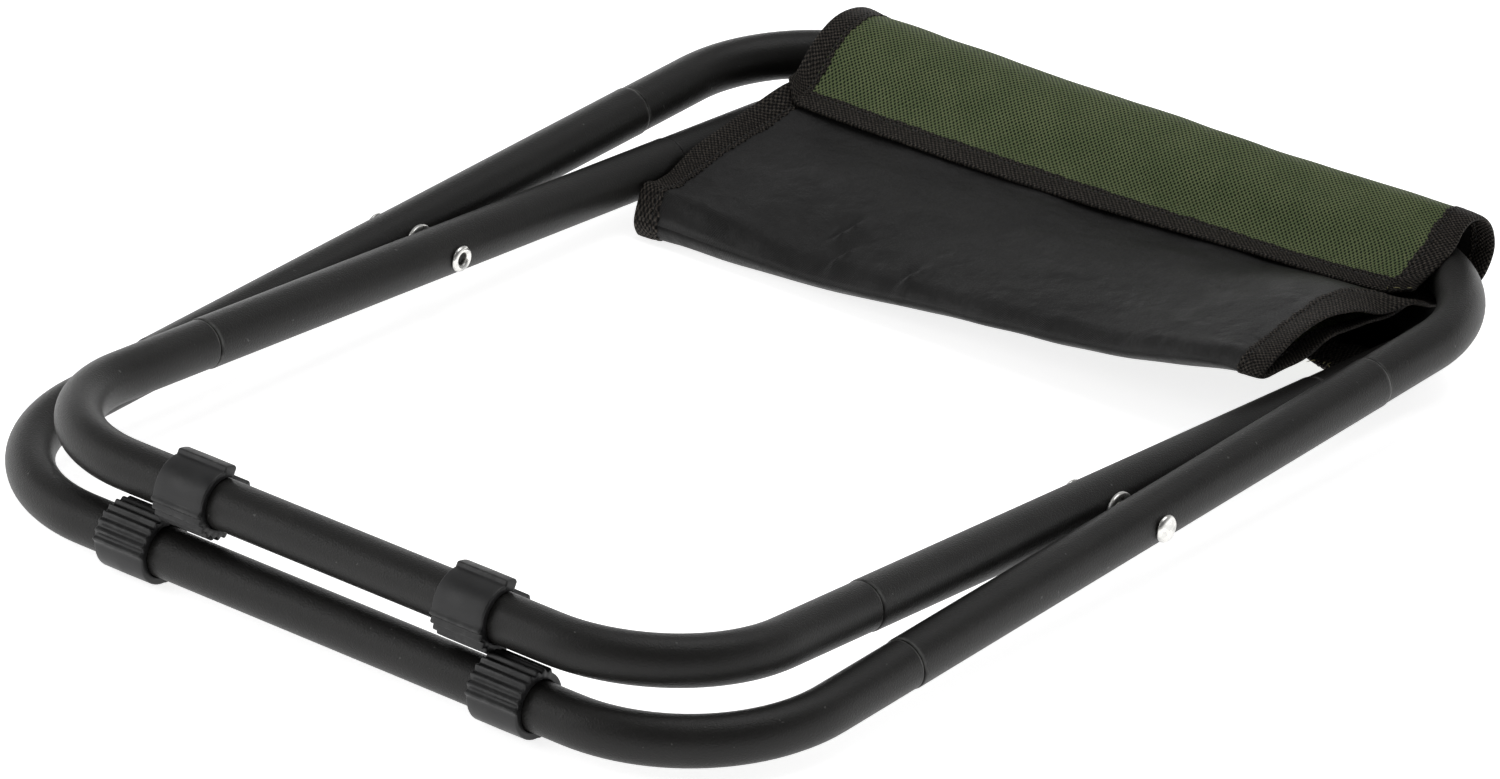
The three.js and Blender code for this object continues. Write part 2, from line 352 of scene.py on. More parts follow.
def woven_face():
    """Coarse plain weave: olive yarns with brown glints, and dark gaps in staggered rows."""
    look = Look("green_weave")
    across, along, place = cloth_axes(look)
    drift = look.grain(0.35, 2.0, vector=place)
    across = look.math("MULTIPLY_ADD", drift, 0.7, across)
    along = look.math("MULTIPLY_ADD", drift, -0.6, along)
    checks = look.math("MULTIPLY", wave(look, across, WEAVE_PERIOD), wave(look, along, WEAVE_PERIOD))
    crown = look.math("ABSOLUTE", wave(look, across, WEAVE_PERIOD, 0.4))
    gap = look.ramp(checks, 0.22, -0.5)
    fibre = look.grain(7.0, vector=place)
    patch = look.grain(0.06, 4.0, vector=place)
    glint = look.ramp(look.grain(1.1, 2.0, vector=place), 0.54, 0.70)
    green = look.mix(look.ramp(patch, 0.35, 0.65), rgb(0.109, 0.146, 0.061), rgb(0.138, 0.175, 0.077))
    green = look.mix(look.math("MULTIPLY", glint, 0.42), green, rgb(0.26, 0.22, 0.12))
    green = look.mix(look.ramp(fibre, 0.3, 0.75, 0.0, 0.45), green, rgb(0.17, 0.21, 0.095))
    look.set(Base_Color=look.mix(look.math("MULTIPLY", gap, 0.97), green, rgb(0.004, 0.008, 0.003)))
    look.set(Roughness=look.ramp(fibre, 0.3, 0.7, 0.62, 0.85))
    height = look.math("ADD", checks, look.math("ADD", look.math("MULTIPLY", crown, 0.3), fibre))
    look.set(Normal=look.relief(height, 0.22, 0.9))
    look.set(Sheen_Weight=0.04, Sheen_Roughness=0.4, Specular_IOR_Level=0.16)
    return look.material


def coated_lining():
    """Thin black coated cloth: a faint slanted twill, a soft sheen and small creases."""
    look = Look("black_lining")
    across, along, place = cloth_axes(look)
    slant = look.math("ADD", across, look.math("MULTIPLY", along, 0.8))
    twill = wave(look, slant, 0.95)
    rib = look.math("MULTIPLY", twill, look.ramp(look.grain(0.05, 2.0, vector=place), 0.4, 0.7))
    crease = look.grain(0.10, 5.0, 0.45, place)
    patch = look.grain(0.035, vector=place)
    fine = look.grain(1.7, 4.0, vector=place)
    dark = look.mix(look.ramp(patch, 0.3, 0.7), rgb(0.0085, 0.0083, 0.0081), rgb(0.0125, 0.0122, 0.012))
    look.set(Base_Color=look.mix(look.ramp(rib, 0.2, 1.0, 0.0, 0.5), dark, rgb(0.024, 0.024, 0.0245)))
    look.set(Roughness=look.ramp(fine, 0.3, 0.7, 0.40, 0.54))
    soft = look.relief(crease, 2.4, 0.65)
    height = look.math("ADD", look.math("MULTIPLY", rib, 0.5), fine)
    look.set(Normal=look.relief(height, 0.16, 0.9, soft))
    look.set(Specular_IOR_Level=0.22)
    return look.material


def binding_tape():
    """Brown-black tape in a small diagonal basket weave, flecked with light fibres."""
    look = Look("binding_tape")
    across, along, place = cloth_axes(look)
    drift = look.grain(0.5, 2.0, vector=place)
    across = look.math("MULTIPLY_ADD", drift, 0.9, across)
    basket = look.math("MULTIPLY", wave(look, across, TAPE_PERIOD), wave(look, along, TAPE_PERIOD))
    fibre = look.grain(6.0, vector=place)
    fleck = look.ramp(look.grain(1.9, 1.0, vector=place), 0.67, 0.74)
    clump = look.grain(0.9, 4.0, 0.65, place)
    dark = look.mix(look.ramp(clump, 0.38, 0.62), rgb(0.007, 0.006, 0.0055), rgb(0.034, 0.029, 0.026))
    pale = look.mix(look.ramp(clump, 0.38, 0.62), rgb(0.052, 0.045, 0.039), rgb(0.150, 0.130, 0.110))
    brown = look.mix(look.ramp(fibre, 0.3, 0.7), dark, pale)
    brown = look.mix(look.ramp(basket, 0.46, -0.36, 0.0, 0.98), brown, rgb(0.001, 0.001, 0.001))
    look.set(Base_Color=look.mix(look.math("MULTIPLY", fleck, 0.5), brown, rgb(0.16, 0.14, 0.10)))
    look.set(Roughness=look.ramp(fibre, 0.3, 0.7, 0.60, 0.82))
    look.set(Normal=look.relief(look.math("ADD", basket, look.math("ADD", fibre, clump)), 0.38, 1.0))
    look.set(Specular_IOR_Level=0.16)
    return look.material


def yarn(name, dark, pale):
    """Twisted sewing thread."""
    look = Look(name)
    twist = look.grain(2500.0, 2.0)
    look.set(Base_Color=look.mix(look.ramp(twist, 0.35, 0.65), dark, pale), Roughness=0.7)
    look.set(Normal=look.relief(twist, 0.05, 0.6), Sheen_Weight=0.1)
    return look.material


OUTER_COAT = powder_coat("outer_powder_coat", (0.0090, 0.0086, 0.0080))
INNER_COAT = powder_coat("inner_powder_coat", (0.0094, 0.0090, 0.0084))
ZINC = zinc_plate()
PLASTIC = clip_plastic()
GREEN = woven_face()
LINING = coated_lining()
TAPE = binding_tape()
BLACK_YARN = yarn("black_thread", rgb(0.006, 0.006, 0.006), rgb(0.020, 0.019, 0.018))
LOOSE_YARN = yarn("loose_thread", rgb(0.14, 0.13, 0.05), rgb(0.30, 0.27, 0.12))


# ---------------------------------------------------------------- tubes

TUBE_SIDES = 48
BEND_STEPS = 26
BEND_SQUEEZE = 0.035
BEND_SWELL = 0.012
STRAIGHT_STEP = 7.0


def tube_section(x, y, dx, dy, in_plane, out_of_plane):
    """A round or slightly oval section, square to the line's direction (dx, dy)."""
    angles = np.linspace(0, 2 * math.pi, TUBE_SIDES, endpoint=False)
    across = in_plane * np.cos(angles)
    return np.stack([x + across * dy, y - across * dx, out_of_plane * np.sin(angles)], axis=1)


def bar_line(half_width, bar):
    """Right half of a U-bar, from the shoulder to the middle: (x, y, dx, dy, share of bend)."""
    bend_y = bar["reach"] - bar["bend"]
    seam_y = bend_y - bar["leg"] + SEAM_GAP
    bend_x = half_width - bar["bend"]
    line = []
    for y in np.linspace(seam_y, bend_y, round(bar["leg"] / STRAIGHT_STEP) + 1)[:-1]:
        line.append((half_width, y, 0.0, 1.0, 0.0))
    for turn in np.linspace(0, 1, BEND_STEPS + 1):
        c = math.cos(turn * math.pi / 2)
        s = math.sin(turn * math.pi / 2)
        pressed = smooth_step(turn, 0, 0.2) * (1 - smooth_step(turn, 0.8, 1))
        line.append((bend_x + bar["bend"] * c, bend_y + bar["bend"] * s, -s, c, float(pressed)))
    for x in np.linspace(bend_x, 0, round(bend_x / STRAIGHT_STEP) + 1)[1:]:
        line.append((x, bar["reach"], -1.0, 0.0, 0.0))
    return line


def mirrored(line):
    """A line from the right end to the middle, carried on to the left end."""
    other = [(-x, y, dx, -dy, share) for x, y, dx, dy, share in reversed(line[:-1])]
    return line + other


def add_bar(name, tube_frame, end, look):
    """A U-bar whose reduced ends plug into the side tubes. The bends are drawn slightly oval."""
    bar = tube_frame[end]
    line = mirrored(bar_line(tube_frame["half_width"], bar))
    x_end, seam_y = line[0][:2]
    tip_y = seam_y - SPIGOT_LENGTH
    edge = 0.35
    lead = [(tip_y, SPIGOT_R - 0.5), (tip_y + 1, SPIGOT_R), (seam_y - 0.15, SPIGOT_R),
            (seam_y, BAR_R - edge), (seam_y + edge, BAR_R), (seam_y + 3 * edge, BAR_R)]
    right = [tube_section(x_end, y, 0.0, 1.0, r, r) for y, r in lead]
    left = [tube_section(-x_end, y, 0.0, -1.0, r, r) for y, r in reversed(lead)]
    body = []
    for x, y, dx, dy, share in line[1:-1]:
        in_plane = BAR_R * (1 - BEND_SQUEEZE * share)
        body.append(tube_section(x, y, dx, dy, in_plane, BAR_R * (1 + BEND_SWELL * share)))
    inner = SPIGOT_R - WALL
    bore = [tube_section(-x_end, tip_y, 0.0, -1.0, inner, inner)]
    for x, y, dx, dy, _ in line[1:-1:3][::-1]:
        bore.append(tube_section(x, y, dx, dy, inner, inner))
    bore.append(tube_section(x_end, tip_y, 0.0, 1.0, inner, inner))
    points, faces = loft([*right, *body, *left, *bore], ring=True)
    wear = 1 - smooth_step(np.abs(points[:, 1] - seam_y), 0.3, 1.1)
    if end == "foot":
        points = points * np.array([-1.0, -1.0, 1.0])
    finish_tube(name, points, faces, wear, tube_frame, look)


def add_side_tube(name, tube_frame, side, look):
    """A straight side tube with a rounded lip at each end."""
    seam = {}
    for end in ("foot", "seat"):
        bar = tube_frame[end]
        seam[end] = bar["reach"] - bar["bend"] - bar["leg"]
    x = side * tube_frame["half_width"]
    length = seam["foot"] + seam["seat"]
    lip = [(0.0, -0.6), (0.05, -0.28), (0.25, -0.08), (0.6, 0.0), (1.0, 0.03), (1.6, 0.04), (4.0, 0.0)]
    outside = [(d, SIDE_R + rise) for d, rise in lip]
    outside += [(d, SIDE_R) for d in np.linspace(10, length - 10, 40)]
    outside += [(length - d, SIDE_R + rise) for d, rise in reversed(lip)]
    inside = [(d, SIDE_R - WALL) for d in (length, length / 2, 0.0)]
    sections = [tube_section(x, d - seam["foot"], 0.0, 1.0, r, r) for d, r in outside + inside]
    points, faces = loft(sections, ring=True)
    from_end = np.minimum(points[:, 1] + seam["foot"], seam["seat"] - points[:, 1])
    finish_tube(name, points, faces, 1 - smooth_step(from_end, 0.3, 1.4), tube_frame, look)


def finish_tube(name, points, faces, wear, tube_frame, look):
    kind = "outer" if tube_frame is FRAMES["outer"] else "inner"
    placed = lay_down(points, tube_frame["tilt"])
    piece = add_piece(f"{name}_coated", placed, faces, look, f"{kind}_frame", {"wear": wear})
    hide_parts(name)


def add_frame_tubes():
    for kind, look in (("outer", OUTER_COAT), ("inner", INNER_COAT)):
        for end in ("foot", "seat"):
            add_bar(f"{kind}_{end}_bar", FRAMES[kind], end, look)
        for side_name, side in SIDES.items():
            add_side_tube(f"{kind}_{side_name}_tube", FRAMES[kind], side, look)


# ---------------------------------------------------------------- rivets, spacers, clips

TURNED_SIDES = 64


def turned(profile, side):
    """Rings about the pivot axis, one for each (x from the middle, radius) of a profile."""
    angles = np.linspace(0, 2 * math.pi, TURNED_SIDES, endpoint=False)
    _, y, z = PIVOT
    return [[(side * x, y + r * math.cos(a), z + r * math.sin(a)) for a in angles] for x, r in profile]


def arc_profile(x, r, rise, width, start, end, steps=8):
    """Points on part of an ellipse in (x, radius), centred on (x, r), between two angles in degrees."""
    found = []
    for i in range(steps + 1):
        a = math.radians(start + (end - start) * i / steps)
        found.append((x + rise * math.sin(a), r + width * math.cos(a)))
    return found


def add_pivots():
    gap = 0.05
    head = FRAMES["outer"]["half_width"] + SIDE_R + gap
    tail = FRAMES["inner"]["half_width"] - SIDE_R - gap
    axis_r = 0.01
    shoulder = 0.5
    crown_r = 1.9
    rim = 0.35
    roll_r = (RIVET_TAIL_R - RIVET_TAIL_HOLE_R) / 2
    rivet = [(head + RIVET_HEAD_RISE, axis_r), (head + RIVET_HEAD_RISE, 1.2)]
    rivet += arc_profile(head + shoulder, crown_r, RIVET_HEAD_RISE - shoulder, RIVET_HEAD_R - crown_r, 90, 0)
    rivet += [(head + 0.15, RIVET_HEAD_R), (head, RIVET_HEAD_R - 0.2), (head, RIVET_SHANK_R)]
    rivet += [(tail, RIVET_SHANK_R), (tail, RIVET_TAIL_R - 0.25)]
    rivet += arc_profile(tail - rim, RIVET_TAIL_R - roll_r, -(RIVET_TAIL_RISE - rim), roll_r, 0, 180, 16)
    hole_end = tail + RIVET_TAIL_HOLE_DEPTH
    rivet += [(tail + 3, RIVET_TAIL_HOLE_R - 0.1), (hole_end, RIVET_TAIL_HOLE_R - 0.4), (hole_end, axis_r)]
    inner_face = FRAMES["inner"]["half_width"] + SIDE_R + SPACER_GAP
    outer_face = FRAMES["outer"]["half_width"] - SIDE_R - SPACER_GAP
    bore = RIVET_SHANK_R + 0.08
    chamfer = 0.3
    spacer = [
        (inner_face, bore + chamfer), (inner_face, SPACER_R - chamfer), (inner_face + chamfer, SPACER_R),
        (outer_face - chamfer, SPACER_R), (outer_face, SPACER_R - chamfer), (outer_face, bore + chamfer),
        (outer_face - chamfer, bore), (inner_face + chamfer, bore),
    ]
    for side_name, side in SIDES.items():
        for kind, profile, ring in (("rivet", rivet, False), ("spacer", spacer, True)):
            points, faces = loft(turned(profile, side), ring)
            piece = add_piece(f"{side_name}_{kind}_plated", points, faces, ZINC, "outer_frame")
            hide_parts(f"{side_name}_{kind}")


def from_lip(angle):
    """Degrees from the nearer lip of a clip."""
    return min(angle - LIPS[0], LIPS[1] - angle)


def clip_radius(angle, first_rib):
    """Outer radius of a clip at an angle in degrees: ribs in the middle, a step up to each lip."""
    ribs = 0.0
    for i in range(RIBS):
        ribs += float(bump(angle, first_rib + i * RIB_STEP, RIB_WIDTH))
    step = 1 - smooth_step(from_lip(angle), *LIP_SPAN)
    return CLIP_OUT_R + RIB_RISE * min(ribs, 1.0) + (LIP_R - CLIP_OUT_R) * float(step)


def clip_section(angle, first_rib):
    """The clip's wall cut at one angle: a rounded rectangle between its bore and its outside."""
    outer = clip_radius(angle, first_rib)
    half = CLIP_LENGTH / 2
    corner = []
    for a in np.radians((0, 22.5, 45, 67.5, 90)):
        rise = CLIP_CORNER * (math.sin(a) - 1)
        corner.append((outer + rise, half + CLIP_CORNER * (math.cos(a) - 1)))
    crown = [(outer + 0.05 * (1 - abs(share)), half * share) for share in (0.66, 0.33, 0.0, -0.33, -0.66)]
    bore = [(CLIP_IN_R, -half + CLIP_CHAMFER), (CLIP_IN_R, half - CLIP_CHAMFER)]
    upper = [(CLIP_IN_R + CLIP_CHAMFER, half), *corner]
    lower = [(r, -along) for r, along in reversed(upper)]
    return [*bore, *upper, *crown, *lower]


def add_clips():
    """Clips face the ground that the standing stool meets: up on the outer bar, down on the inner."""
    for kind, tube_frame in FRAMES.items():
        ground = 1 if kind == "outer" else -1
        angles = np.arange(LIPS[0], LIPS[1] + 0.1, 1.25)
        sections = []
        wear = []
        for angle in angles:
            a = math.radians(angle)
            shrink = 0.35 * (1 - smooth_step(from_lip(angle), 0, 2.5))
            rows = []
            for r, along in clip_section(angle, FIRST_RIB[kind]):
                r += float(shrink) * (1 if r < CLIP_IN_R + 0.5 else -1)
                rows.append((along, -tube_frame["foot"]["reach"] - r * math.cos(a), ground * r * math.sin(a)))
                wear.append(max(0.0, (r - CLIP_OUT_R) / (LIP_R - CLIP_OUT_R)))
            sections.append(rows)
        points, faces = loft(sections)
        for side_name, side in SIDES.items():
            placed = lay_down(points + (side * tube_frame["clip_x"], 0, 0), tube_frame["tilt"])
            # The lip that stands on the floor is worn flat
            placed[:, 2] = np.maximum(placed[:, 2], CLIP_CLEARANCE)
            name = f"{kind}_{side_name}_foot_clip"
            piece = add_piece(f"{name}_moulded", placed, faces, PLASTIC, f"{kind}_frame",
                              {"wear": wear})
            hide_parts(name)


# ---------------------------------------------------------------- the cloth's shape

# Sections of the cloth's middle line at seven places across the seat, from the left edge to the
# right. Each is (y from the pivot, height above the floor).
PLACES = (-1.0, -0.93, -0.5, 0.0, 0.5, 0.93, 1.0)
FRONT_SLEEVE = (  # from the hem's end, up over the outer bar and down behind it
    ((188.4, 36.8), (181.6, 31.4), (180.4, 32.3), (185.8, 31.3), (191.5, 32.5), (196.8, 33.0), (202.0, 34.8)),
    ((193.9, 38.6), (192.2, 34.6), (192.8, 34.8), (197.0, 34.0), (201.3, 34.0), (202.8, 37.8), (206.5, 39.0)),
    ((200.7, 45.4), (200.2, 41.4), (200.3, 40.0), (203.3, 39.2), (207.3, 39.8), (210.4, 43.2), (214.3, 43.5)),
    ((207.6, 50.2), (207.2, 47.4), (207.3, 45.9), (209.5, 45.4), (213.0, 46.6), (217.0, 48.6), (220.8, 47.6)),
    ((216.5, 53.9), (216.5, 52.7), (216.5, 51.3), (218.0, 51.2), (221.0, 51.9), (223.5, 53.1), (225.0, 52.4)),
    ((226.4, 54.0), (226.0, 53.6), (226.0, 53.2), (227.4, 54.1), (229.5, 54.2), (230.0, 56.3), (231.2, 54.4)),
    ((235.4, 51.1), (235.0, 50.4), (235.0, 50.7), (235.7, 51.5), (237.2, 51.6), (238.6, 53.1), (238.6, 52.4)),
    ((242.4, 45.6), (241.4, 44.8), (241.4, 45.0), (242.0, 45.5), (244.0, 45.3), (244.6, 46.6), (244.4, 46.2)),
    ((244.4, 36.0), (244.5, 36.0), (244.5, 36.0), (244.7, 36.0), (246.2, 36.0), (246.4, 36.6), (245.8, 37.0)),
    ((240.3, 28.2), (240.2, 28.0), (240.0, 28.0), (240.0, 28.0), (241.3, 28.0), (241.2, 28.4), (240.8, 28.8)),
)
FRONT_PANEL = (  # from under the outer bar to the roll at the crease
    ((207.0, 29.8), (207.5, 28.6), (208.0, 28.3), (210.0, 27.4), (213.0, 26.6), (212.5, 26.4), (212.0, 26.3)),
    ((187.0, 34.9), (187.0, 30.2), (189.0, 31.2), (191.0, 29.6), (198.0, 29.3), (198.0, 31.0), (199.0, 32.2)),
    ((168.0, 32.2), (168.5, 27.6), (174.0, 30.2), (178.0, 29.8), (183.0, 31.4), (177.0, 41.0), (179.0, 34.9)),
    ((150.0, 28.6), (150.5, 25.8), (158.0, 28.3), (160.0, 29.2), (163.0, 34.4), (157.0, 47.0), (158.0, 43.2)),
    ((133.0, 26.0), (133.5, 23.8), (141.0, 26.2), (143.0, 28.2), (144.0, 34.8), (139.0, 45.7), (138.5, 45.6)),
    ((120.0, 21.8), (120.5, 21.5), (126.0, 23.0), (127.0, 25.8), (126.0, 33.4), (124.0, 43.3), (124.0, 43.8)),
    ((110.5, 20.4), (111.0, 20.4), (114.0, 18.8), (114.0, 22.8), (113.5, 31.0), (113.0, 41.4), (113.5, 40.2)),
    ((102.6, 19.4), (103.0, 18.8), (104.5, 15.0), (105.5, 20.0), (106.0, 28.4), (105.5, 39.4), (106.5, 37.0)),
)
CREASE = ((99.2, 8.4), (99.4, 8.6), (99.5, 9.0), (102.2, 15.8), (102.2, 23.8), (102.4, 35.2), (103.4, 35.3))
REAR_PANEL = (  # from the crease to the top of the inner bar
    ((101.2, 2.2), (101.8, 2.2), (104.5, 3.8), (106.5, 12.2), (106.5, 20.2), (106.5, 32.4), (106.0, 33.8)),
    ((111.0, 1.5), (112.0, 1.5), (116.0, 2.8), (117.0, 12.4), (117.0, 19.9), (117.0, 31.4), (117.0, 33.3)),
    ((130.0, 1.8), (130.0, 2.2), (131.0, 5.0), (131.0, 13.6), (131.0, 20.6), (131.0, 31.6), (131.0, 33.2)),
    ((150.0, 4.8), (150.0, 5.4), (151.0, 9.2), (151.0, 15.8), (151.0, 20.8), (151.0, 32.8), (150.0, 35.8)),
    ((171.0, 10.6), (171.0, 11.0), (171.0, 14.0), (171.0, 17.8), (171.0, 20.8), (171.0, 29.0), (170.0, 32.8)),
    ((190.0, 16.8), (190.0, 17.0), (190.0, 18.4), (190.0, 20.0), (190.0, 21.0), (189.0, 25.6), (187.0, 28.6)),
    ((208.0, 22.2), (208.0, 22.2), (208.0, 22.2), (208.0, 22.4), (208.0, 22.6), (205.0, 26.4), (202.0, 29.6)),
)
REAR_SLEEVE = (  # round the inner bar and back under it to the hem
    (*[(236.0, 20.4)] * 5, (231.0, 22.0), (221.4, 23.4)),
    (*[(239.8, 12.6)] * 5, (236.6, 14.0), (228.4, 16.0)),
    (*[(236.6, 4.9)] * 5, (233.8, 5.8), (227.6, 7.6)),
    (*[(228.0, 2.0)] * 5, (225.0, 2.2), (220.0, 2.7)),
    (*[(217.0, 1.5)] * 5, (215.0, 1.5), (211.0, 1.6)),
    (*[(206.0, 1.6)] * 5, (205.0, 1.7), (203.0, 2.2)),
    (*[(198.0, 3.2)] * 5, (197.5, 3.6), (197.0, 4.6)),
    ((192.5, 8.6), (192.5, 8.8), (193.0, 9.8), (193.5, 10.6), (193.5, 11.0), (190.0, 11.6), (189.0, 12.6)),
    ((187.5, 13.2), (187.5, 13.4), (188.5, 15.2), (189.0, 16.8), (189.0, 17.8), (177.5, 16.8), (175.5, 17.4)),
    ((178.5, 11.6), (178.5, 11.8), (178.8, 14.8), (179.0, 17.4), (179.0, 19.0), (159.0, 16.8), (156.0, 17.6)),
)
FRONT_TANGENT = ((OUTER_AXIS[1] - PIVOT[1], FRONT_PLANE),) * 7
REAR_TANGENT = ((INNER_AXIS[1] - PIVOT[1], REAR_PLANE),) * 5 + ((220.0, 25.6), (213.0, 27.6))

GUIDE_ROWS = (*FRONT_SLEEVE, FRONT_TANGENT, *FRONT_PANEL, CREASE, *REAR_PANEL, REAR_TANGENT, *REAR_SLEEVE)
FIRST_CUT = len(FRONT_SLEEVE)
TIP_CUT = FIRST_CUT + len(FRONT_PANEL) + 1
LAST_CUT = TIP_CUT + len(REAR_PANEL) + 1
PARTS = {  # name: first and last guide row, body, the plane it lies in when the seat is taut
    "seat_front_sleeve": (0, FIRST_CUT, "seat_front", None),
    "seat_front_panel": (FIRST_CUT, TIP_CUT, "seat_front", FRONT_PLANE),
    "seat_rear_panel": (TIP_CUT, LAST_CUT, "seat_rear", REAR_PLANE),
    "seat_rear_sleeve": (LAST_CUT, len(GUIDE_ROWS) - 1, "seat_rear", None),
}


def calm_slopes(knots, values):
    """Slopes that never overshoot: none at a peak, else the harmonic mean of both sides."""
    rise = np.diff(values, axis=0) / np.diff(knots).reshape((-1,) + (1,) * (values.ndim - 1))
    before = rise[:-1]
    after = rise[1:]
    same = before * after > 0
    both = np.where(same, before + after, 1.0)
    inside = np.where(same, 2 * before * after / both, 0.0)
    return np.concatenate([rise[:1], inside, rise[-1:]])


def cubic_through(knots, values, at, calm=False):
    """A smooth curve through values at uneven knots, read at many places."""
    knots = np.asarray(knots, float)
    values = np.asarray(values, float)
    at = np.asarray(at, float)
    slope = calm_slopes(knots, values) if calm else np.gradient(values, knots, axis=0)
    i = np.clip(np.searchsorted(knots, at, side="right") - 1, 0, len(knots) - 2)
    span = knots[i + 1] - knots[i]
    t = (at - knots[i]) / span
    t = t.reshape(t.shape + (1,) * (values.ndim - 1))
    span = span.reshape(span.shape + (1,) * (values.ndim - 1))
    rise = 2 * t**3 - 3 * t**2 + 1
    fall = -2 * t**3 + 3 * t**2
    start = (t**3 - 2 * t**2 + t) * span * slope[i]
    end = (t**3 - t**2) * span * slope[i + 1]
    return rise * values[i] + start + fall * values[i + 1] + end


GUIDES = np.array(GUIDE_ROWS, float)  # guide row, place across, (y, height)
MIDDLE_COLUMN = PLACES.index(0.0)
GUIDE_STEPS = np.hypot(*np.diff(GUIDES[:, MIDDLE_COLUMN], axis=0).T)
GUIDE_KNOTS = np.concatenate([[0], np.cumsum(GUIDE_STEPS)])  # about the length along the cloth


# The pinched folds: (x where one starts, y from, y to, height)
CREASE_FOLDS = ((-58.0, 117.0, 128.0, 1.8), (-50.0, 104.0, 113.0, 1.8), (-17.0, 104.0, 113.0, 1.6))


def crease_puckers(x, y):
    """Small pinched folds near the crease, left of the middle, as heights out of the lining."""
    height = np.zeros_like(x)
    for at, low, high, rise in CREASE_FOLDS:
        lean = at + 0.35 * (y - low)
        inside = smooth_step(y, low - 4, low + 2) * (1 - smooth_step(y, high - 2, high + 5))
        height += rise * inside * (bump(x, lean, 2.2) - 0.7 * bump(x, lean - 4.6, 2.6))
    return height


def soft_waves(x, s, seed, size, rise):
    """Broad uneven waves, the same each run."""
    values = np.empty(x.shape)
    for index in np.ndindex(x.shape):
        at = Vector((x[index] / size, s[index] / size * 1.5, seed))
        values[index] = noise.noise(at) + 0.45 * noise.noise(at * 2.1)
    return values * rise


def cloth_points(places, rows):
    """The cloth's middle surface in the stool's frame, for places across and knots along."""
    across = cubic_through(PLACES, np.swapaxes(GUIDES, 0, 1), places, calm=True)  # place, guide, (y, h)
    line = cubic_through(GUIDE_KNOTS, np.swapaxes(across, 0, 1), rows)  # row, place, (y, h)
    y = line[..., 0]
    to_rear = smooth_step(rows, GUIDE_KNOTS[TIP_CUT], GUIDE_KNOTS[LAST_CUT])[:, None]
    middle = CLOTH_MIDDLE_X + (REAR_MIDDLE_X - CLOTH_MIDDLE_X) * to_rear
    half = CLOTH_HALF_WIDTH + (REAR_HALF_WIDTH - CLOTH_HALF_WIDTH) * to_rear
    from_hem = 1 - smooth_step(rows, 0, 24)[:, None]
    pulled_in = RIGHT_CORNER_PULL * from_hem * smooth_step(places, 0.6, 1.0)[None, :]
    x = middle + half * np.asarray(places)[None, :] - pulled_in
    return np.stack([x, y + PIVOT[1], line[..., 1]], axis=-1)


def surface_normals(points):
    """Normals towards the green face. Rows run from the front hem to the rear one, columns to +X."""
    along = np.gradient(points, axis=0)
    across = np.gradient(points, axis=1)
    normal = np.cross(across, along)
    return normal / np.linalg.norm(normal, axis=-1, keepdims=True)


def creased(points, rows):
    """Adds waves and puckers square to the cloth. The waves die out at the bars and the hems."""
    normal = surface_normals(points)
    rows = np.asarray(rows)[:, None]
    x = points[..., 0]
    held = np.ones_like(x)
    for knot in (GUIDE_KNOTS[0], GUIDE_KNOTS[FIRST_CUT], GUIDE_KNOTS[LAST_CUT], GUIDE_KNOTS[-1]):
        held *= smooth_step(np.abs(rows - knot), 2, 22)
    on_panel = smooth_step(rows, GUIDE_KNOTS[FIRST_CUT], GUIDE_KNOTS[FIRST_CUT] + 25)
    on_panel = on_panel * (1 - smooth_step(rows, GUIDE_KNOTS[TIP_CUT] - 2, GUIDE_KNOTS[TIP_CUT] + 4))
    spread = np.broadcast_to(rows, x.shape)
    lift = soft_waves(x, spread, seed=3.7, size=46.0, rise=0.9) * held * (1 + 0.7 * on_panel)
    lift -= crease_puckers(x, points[..., 1] - PIVOT[1]) * on_panel
    shifted = points + normal * lift[..., None]
    shifted[..., 2] = np.maximum(shifted[..., 2], TAPE_HALF + CLOTH_CLEARANCE)
    return shifted


def part_rows(name, step):
    first, last = PARTS[name][:2]
    start = GUIDE_KNOTS[first]
    end = GUIDE_KNOTS[last]
    return np.linspace(start, end, round((end - start) / step) + 1)


class Sampler:
    """Points and normals of the creased cloth at chosen places, over the whole length of the cloth."""

    def __init__(self, places, step):
        self.places = np.asarray(places, float)
        rows = [part_rows(name, step) for name in PARTS]
        self.rows = np.concatenate([rows[0]] + [r[1:] for r in rows[1:]])
        self.points = creased(cloth_points(self.places, self.rows), self.rows)
        self.normals = surface_normals(self.points)
        counts = np.cumsum([0] + [len(r) - 1 for r in rows])
        self.spans = {name: (counts[i], counts[i + 1] + 1) for i, name in enumerate(PARTS)}

    def part(self, name):
        first, last = self.spans[name]
        return self.rows[first:last], self.points[first:last], self.normals[first:last]


# ---------------------------------------------------------------- the cloth's pieces

def settle(piece, name):
    """A panel's piece gets its own copy of its mesh. A sleeve's piece is left as it is."""
    plane = PARTS[name][3]
    if plane is not None:
        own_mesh(piece)


def sheet_solid(points, normals, low, high):
    """A thin closed sheet between two offsets from a grid of points."""
    rows, columns = points.shape[:2]
    lower = points + normals * low
    upper = points + normals * high
    every = np.concatenate([lower.reshape(-1, 3), upper.reshape(-1, 3)])
    top = rows * columns
    faces = []
    for r in range(rows - 1):
        for c in range(columns - 1):
            a = r * columns + c
            quad = (a, a + 1, a + columns + 1, a + columns)
            faces.append(quad)
            faces.append(tuple(top + i for i in reversed(quad)))
    border = list(range(columns))
    border += [r * columns + columns - 1 for r in range(1, rows)]
    border += [(rows - 1) * columns + c for c in range(columns - 2, -1, -1)]
    border += [r * columns for r in range(rows - 2, 0, -1)]
    for i, a in enumerate(border):
        b = border[(i + 1) % len(border)]
        faces.append((b, a, top + a, top + b))
    return every, faces


def grid_attribute(inner, outer):
    """Millimetres across and along for each point of a grid, its rows one after the other."""
    across, along = np.meshgrid(inner, outer)
    return np.stack([across, along, np.zeros_like(across)], axis=-1).reshape(-1, 3)


